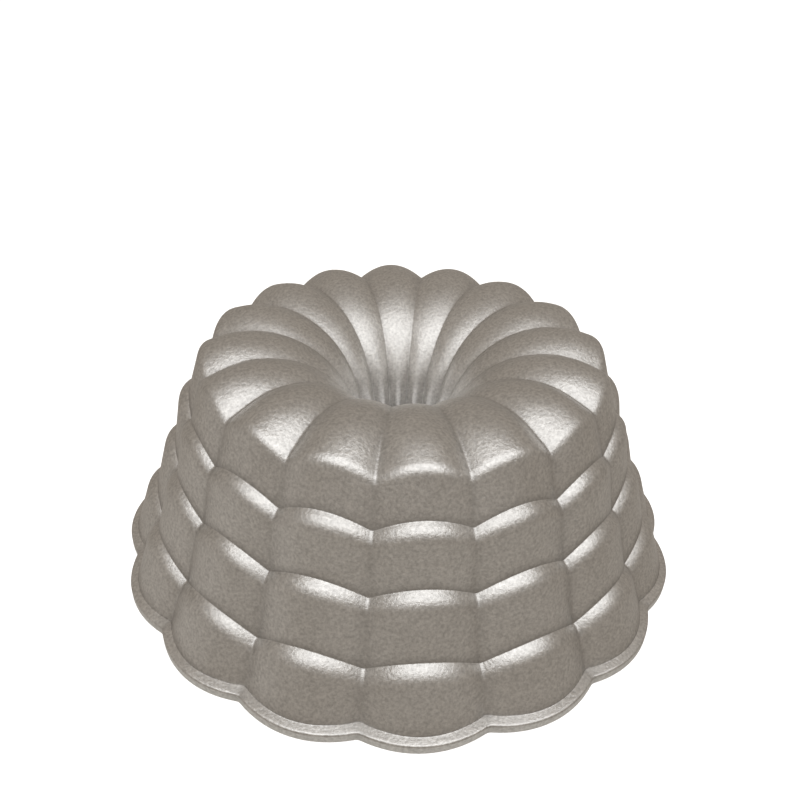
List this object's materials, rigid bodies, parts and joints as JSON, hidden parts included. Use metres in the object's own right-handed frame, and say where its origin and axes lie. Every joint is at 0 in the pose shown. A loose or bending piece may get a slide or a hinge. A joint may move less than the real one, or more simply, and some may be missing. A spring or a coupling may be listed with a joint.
{
  "type": "fluted tube pan",
  "caption": "Cast metal cake pan with stepped fluted walls, a centre tube and a scalloped brim, standing crown up; it moulds a ring cake.",
  "frame": {"origin": "centre of the brim's standing face, where the pan rests crown up", "axes": "+Z along the pan's axis from the brim towards the crown, -Y through the crest of one flute"},
  "size_m": [0.26, 0.26, 0.1036],
  "materials": {
    "cast_aluminium": "warm pewter metallic finish over fine sand-cast grain, satin",
    "nonstick_coating": "baked-on release coat, satin dark grey with a fine metallic fleck"
  },
  "bodies": {
    "root": {"pan_casting": "cast_aluminium", "nonstick_lining": "nonstick_coating"}
  },
  "joints": []
}
